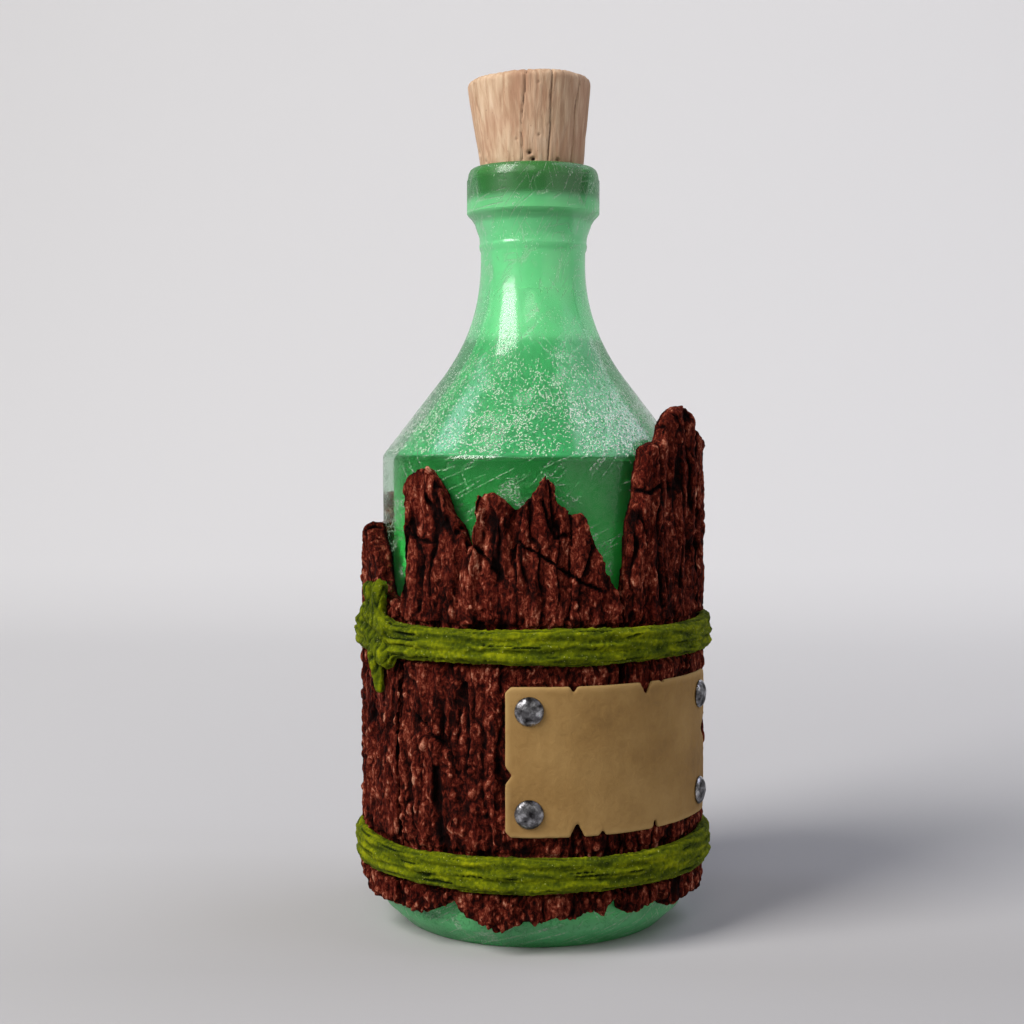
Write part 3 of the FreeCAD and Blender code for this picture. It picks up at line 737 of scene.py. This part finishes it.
# Cork: a hand-cut taper with grain, cracks and pits
cork = {
    "voxel": 0.36, "smoothing": 12, "hiddenBelow": (186.0, 187.0), "flank": (8, 11),
    "warpSize": (9, 9, 14), "grainSize": (0.9, 0.9, 14), "grain": 0.16, "hewnSize": (7, 7, 22), "hewn": 0.3,
    # Millimetres to a degree at the cracks, and at the pits, which are mostly lower on the taper
    "crackDegree": 0.25, "pitDegree": 0.24,
    # Half width, depth, then [angle, height] along each crack
    "cracks": [[0.22, 0.7, [[-64, 206], [-65, 201], [-58, 196], [-57, 190], [-51, 186]]],
               [0.16, 0.5, [[-6, 209], [-8, 203], [-12, 196], [-12, 186]]],
               [0.18, 0.6, [[19, 209], [17, 202], [18, 195], [16, 186]]],
               [0.2, 0.6, [[53, 206], [48, 199], [49, 192], [46, 187]]],
               [0.2, 0.6, [[120, 207], [124, 197], [119, 187]]],
               [0.2, 0.6, [[201, 206], [197, 194], [199, 187]]]],
    # Angle, height, radius of each pit
    "pits": [[-4, 188.5, 0.7], [0, 186.8, 0.8], [10, 186.0, 0.6], [28, 186.9, 0.7], [47, 186.3, 0.6],
             [-77, 190, 0.7], [-60, 187.3, 0.6], [-17, 191.8, 0.4], [6, 192.7, 0.4], [5, 205, 0.35],
             [110, 190, 0.8], [150, 200, 0.6], [215, 192, 0.8], [250, 203, 0.6], [180, 188, 0.7]],
    "colours": [[0.2, (132, 96, 71)], [0.42, (167, 134, 106)], [0.56, (192, 164, 136)],
                [0.8, (215, 195, 170)]],
    "warmTone": (164, 116, 92), "crackTone": (44, 24, 16), "speckTone": (96, 58, 40),
}


def makeCork():
    piece = remeshedCopy("cork_stopper", "corkStopper", cork["voxel"], cork["smoothing"])
    places, normals = cornersOf(piece), normalsOf(piece)
    angle, r, z = roundBottle(places)
    warp = softNoise(places / cork["warpSize"])
    raised = cork["grain"] * softNoise(places / cork["grainSize"] + np.outer(warp, (1, 1, 0)))
    raised += cork["hewn"] * softNoise(places / cork["hewnSize"] + (0, 0, 5))
    side = step(r, *cork["flank"])
    for halfWidth, depth, line in cork["cracks"]:
        near = crackDistance(angle, z, line, cork["crackDegree"])
        raised -= side * depth * hollow(near, halfWidth, 0.4, 1.5)
    for pitAngle, height, size in cork["pits"]:
        near = np.hypot(fromFront(angle, pitAngle) * cork["pitDegree"], z - height)
        raised -= side * size * hollow(near, size, 0.4, 1.1)
    # The foot, which is hidden in the neck, keeps its fit
    raised *= step(z, *cork["hiddenBelow"])
    setCorners(piece, places + normals * raised[:, None])
    storeValue(piece, "relief", raised)
    smoothShade(piece)
    return piece


def corkFinish():
    paint = Finish("rawCork")
    grain = paint.noise(paint.place(scale=(1, 1, 0.07)), scale=1.1, detail=6, roughness=0.6,
                        distortion=0.4)
    broad = paint.noise(paint.place(scale=(1, 1, 0.25)), scale=0.16, detail=3)
    colour = paint.shades(grain * 0.65 + broad * 0.5 - 0.08, cork["colours"])
    warm = paint.noise(paint.place(), scale=0.09, detail=2)
    colour = paint.blend(paint.range(warm, 0.45, 0.7, 0, 0.35), colour, tone(*cork["warmTone"]))
    cracked = paint.range(paint.attribute("relief"), -0.28, -0.65)
    colour = paint.blend(cracked, colour, tone(*cork["crackTone"]))
    speck = paint.noise(paint.place(scale=(1, 1, 0.5)), scale=1.7, detail=2)
    colour = paint.blend(paint.range(speck, 0.7, 0.76, 0, 0.55), colour, tone(*cork["speckTone"]))
    return paint.done(paint.shader(Base_Color=colour, Roughness=paint.range(grain, 0.3, 0.7, 0.62, 0.85),
                                   Specular_IOR_Level=0.3, Normal=paint.bump(grain, 0.25)))


settle(makeCork(), corkFinish(), "cork", "cork", "cork_stopper")


# Label: a thin stiff skin with softened edges
label = {
    "voxel": 0.36, "smoothing": 5, "centreAngle": 33.8, "centreHeight": 45.95,
    "halfWidth": 32.0, "halfHeight": 17.4, "radius": 43.35, "front": (42.6, 43.2),
    "mottle": 0.12, "waveSize": 6, "wave": 0.5, "puckerSize": 1.6, "pucker": 0.35,
    "colours": [[0.3, (116, 86, 44)], [0.48, (137, 105, 57)], [0.66, (152, 120, 70)]],
    "rimTone": (182, 150, 96),
}


def makeLabel():
    piece = remeshedCopy("parchment_label", "parchmentLabel", label["voxel"], label["smoothing"])
    places, normals = cornersOf(piece), normalsOf(piece)
    angle, r, z = roundBottle(places)
    waves = softNoise(places / label["waveSize"]) * label["wave"] \
        + softNoise(places / label["puckerSize"]) * label["pucker"]
    setCorners(piece, places + normals * (label["mottle"] * waves * step(r, *label["front"]))[:, None])
    across = abs(np.radians(fromFront(angle, label["centreAngle"])) * label["radius"])
    edge = np.minimum(label["halfWidth"] - across, label["halfHeight"] - abs(z - label["centreHeight"]))
    storeValue(piece, "edge", edge)
    smoothShade(piece)
    return piece


def labelFinish():
    paint = Finish("tannedParchment")
    even = paint.place()
    cloud = paint.noise(even, scale=0.06, detail=4, roughness=0.55)
    fibre = paint.noise(even, scale=0.5, detail=6, roughness=0.7, distortion=0.6)
    colour = paint.shades(cloud * 0.75 + fibre * 0.3, label["colours"])
    # The rim is rubbed pale
    rim = paint.range(paint.attribute("edge") + fibre * 2.0, 2.6, 0.6)
    colour = paint.blend(rim * 0.6, colour, tone(*label["rimTone"]))
    return paint.done(paint.shader(Base_Color=colour, Roughness=paint.range(fibre, 0.3, 0.7, 0.66, 0.8),
                                   Specular_IOR_Level=0.3, Normal=paint.bump(fibre, 0.18)))


settle(makeLabel(), labelFinish(), "bottle", "parchment", "parchment_label")


# Nails: one hammered head, copied to the label's four corners
nail = {
    "sides": 40, "stand": 43.35, "sink": 0.15, "smoothAngle": 50,
    # Radius and height of each ring of the head
    "profile": [[3.4, 0.0], [3.4, 0.35], [3.28, 0.6], [2.95, 0.92], [2.4, 1.28], [1.7, 1.53],
                [0.9, 1.67], [0.15, 1.7]],
    # Angle and height of each nail, and how it was turned as it was hammered
    "places": [[-1.1, 57.75, 0.4], [-1.1, 34.15, 2.1], [68.7, 57.75, 3.9], [68.7, 34.15, 5.2]],
    "dentSize": (2.1, 2.1, 3), "dent": 0.22, "dentRise": (0.2, 0.8),
    "colours": [[0.36, (34, 32, 34)], [0.5, (104, 103, 106)], [0.66, (190, 190, 194)]],
}


def hammerHead(head, angle, height, spin):
    # A copy of the head with its own dents, turned and stood against the label
    pick(head)
    bpy.ops.object.duplicate()
    copy = bpy.context.active_object
    places = cornersOf(copy)
    x, y, z = places.T
    dents = nail["dent"] * softNoise(places / nail["dentSize"] + (spin * 9, 0, 0))
    out = np.array([math.sin(math.radians(angle)), -math.cos(math.radians(angle)), 0])
    side, up = np.array([-out[1], out[0], 0]), np.array([0, 0, 1])
    foot = out * (nail["stand"] - nail["sink"]) + up * height
    across = x * math.cos(spin) - y * math.sin(spin)
    rise = x * math.sin(spin) + y * math.cos(spin)
    stand = z + dents * step(z, *nail["dentRise"])
    setCorners(copy, foot + np.outer(across, side) + np.outer(rise, up) + np.outer(stand, out))
    return copy


def makeNails():
    head = stackRings("nailHeads", nail["profile"], nail["sides"])
    heads = [hammerHead(head, *place) for place in nail["places"]]
    bpy.data.objects.remove(head)
    pick(*heads)
    bpy.ops.object.join()
    piece = bpy.context.active_object
    piece.name = piece.data.name = "nailHeads"
    bpy.ops.object.mode_set(mode="EDIT")
    bpy.ops.mesh.select_all(action="SELECT")
    bpy.ops.mesh.normals_make_consistent(inside=False)
    bpy.ops.object.mode_set(mode="OBJECT")
    useModifier(piece, "SUBSURF", levels=1, render_levels=1)
    bpy.ops.object.shade_smooth_by_angle(angle=math.radians(nail["smoothAngle"]))
    return piece


def nailFinish():
    paint = Finish("hammeredSteel")
    even = paint.place()
    stain = paint.noise(even, scale=0.45, detail=4, roughness=0.55)
    dent = paint.noise(even, scale=0.7, detail=2)
    return paint.done(paint.shader(Base_Color=paint.shades(stain, nail["colours"]), Metallic=0.9,
                                   Roughness=paint.range(stain, 0.35, 0.65, 0.45, 0.24),
                                   Normal=paint.bump(dent, 0.25)))


settle(makeNails(), nailFinish(), "bottle", "nail", "label_nails")


# Studio: a pale floor that sweeps up into the backdrop, soft lamps and the camera, in metres
studio = {
    "front": -1.6, "sweepStart": 0.55, "sweepRadius": 0.5, "sweepSteps": 16, "width": 4.0, "top": 2.2,
    # The floor's tones from near to far, as shares of the way from -0.1 to 0.4, darker towards the camera
    # as painted shade
    "floorReach": (-0.1, 0.4),
    "floorTonesAndShade": [(0.1, (0.405, 0.4, 0.406, 1)), (0.32, (0.505, 0.5, 0.506, 1)),
                   (1, (0.52, 0.512, 0.512, 1))],
    "glow": (0.335, 0.33, 0.333, 1), "glowReach": (0.08, 0.72), "aimHeight": 0.11,
    # Angle, rise, distance, width, height, power and colour of each lamp
    "lamps": {"keySoftbox": (-53, 37, 1.0, 0.48, 0.66, 14.5, (1, 0.975, 0.945)),
              "rightSoftbox": (99, 50, 1.1, 1.15, 0.8, 5.4, (0.83, 0.85, 1)),
              "leftSoftbox": (-105, 53, 1.1, 0.24, 0.4, 0.8, (0.72, 0.8, 1)),
              "frontSoftbox": (-5, 36, 1.0, 0.3, 0.3, 0.9, (1, 0.98, 0.93)),
              "fillSoftbox": (56, 10, 1.3, 1.8, 0.9, 5.4, (1, 0.98, 0.94))},
    "air": (0.8, 0.8, 0.82, 1), "airStrength": 0.015,
    "cameraPlace": (0, -0.4267, 0.1214), "cameraDip": 2.728, "cameraSwing": 0.708,
    "lensLength": 59.77, "sensorWidth": 36, "nearestSeen": 0.01,
}


def floorFinish():
    paint = Finish("paleFloor")
    back = paint.node("SeparateXYZ", {}, {"Vector": paint.node("TexCoord", output="Object")}, output=1)
    # The backdrop's far part looks paler, but only to the camera and in what the glass shows
    camera, gloss, through = [paint.node("LightPath", output="Is " + ray + " Ray")
                              for ray in ("Camera", "Glossy", "Transmission")]
    seen = (camera | gloss | through) * paint.range(back, *studio["glowReach"])
    return paint.done(paint.shader(
        Base_Color=paint.ramp(paint.range(back, *studio["floorReach"]), *studio["floorTonesAndShade"]),
        Roughness=0.9, Specular_IOR_Level=0.1, Emission_Strength=1.0,
        Emission_Color=paint.blend(seen, (0, 0, 0, 1), studio["glow"])))


def makeSweep():
    bpy.ops.object.select_all(action="DESELECT")
    bpy.ops.mesh.primitive_plane_add(size=1, location=(0, 0, 0))
    sweep = bpy.context.active_object
    sweep.name = "studioFloor"
    start, bend, half = studio["sweepStart"], studio["sweepRadius"], studio["width"] / 2
    profile = [[studio["front"], 0], [start, 0]]
    for part in range(1, studio["sweepSteps"] + 1):
        turn = math.pi / 2 * part / studio["sweepSteps"]
        profile.append([start + bend * math.sin(turn), bend * (1 - math.cos(turn))])
    profile.append([start + bend, studio["top"]])
    vertices = [(x, y, z) for y, z in profile for x in (-half, half)]
    faces = [(2 * i, 2 * i + 1, 2 * i + 3, 2 * i + 2) for i in range(len(profile) - 1)]
    sweep.data.clear_geometry()
    sweep.data.from_pydata(vertices, [], faces)
    smoothShade(sweep)
    sweep.data.materials.append(floorFinish())
    print("made", sweep.name)


def softbox(name, angle, rise, distance, width, height, power, colour):
    turn, lift = math.radians(angle), math.radians(rise)
    lamp = bpy.data.lights.new(name, "AREA")
    lamp.shape, lamp.size, lamp.size_y, lamp.energy = "RECTANGLE", width, height, power
    lamp.color = colour
    stand = bpy.data.objects.new(name, lamp)
    bpy.context.scene.collection.objects.link(stand)
    offset = Vector((math.sin(turn) * math.cos(lift), -math.cos(turn) * math.cos(lift), math.sin(lift)))
    stand.location = Vector((0, 0, studio["aimHeight"])) + offset * distance
    stand.rotation_euler = offset.to_track_quat("Z", "Y").to_euler()


def placeCamera():
    lens = bpy.data.cameras.new("photoCamera")
    lens.sensor_width, lens.lens = studio["sensorWidth"], studio["lensLength"]
    lens.clip_start = studio["nearestSeen"]
    camera = bpy.data.objects.new("photoCamera", lens)
    bpy.context.scene.collection.objects.link(camera)
    camera.location = studio["cameraPlace"]
    camera.rotation_euler = (math.radians(90 - studio["cameraDip"]), 0,
                             math.radians(studio["cameraSwing"]))
    bpy.context.scene.camera = camera


makeSweep()
for name, lamp in studio["lamps"].items():
    softbox(name, *lamp)
world = bpy.data.worlds.new("studioAir")
bpy.context.scene.world = world
world.use_nodes = True
air = world.node_tree.nodes["Background"].inputs
air["Color"].default_value = studio["air"]
air["Strength"].default_value = studio["airStrength"]
placeCamera()
bpy.context.scene.view_settings.view_transform = "Standard"
print("placed", len(studio["lamps"]), "lamps and the camera")
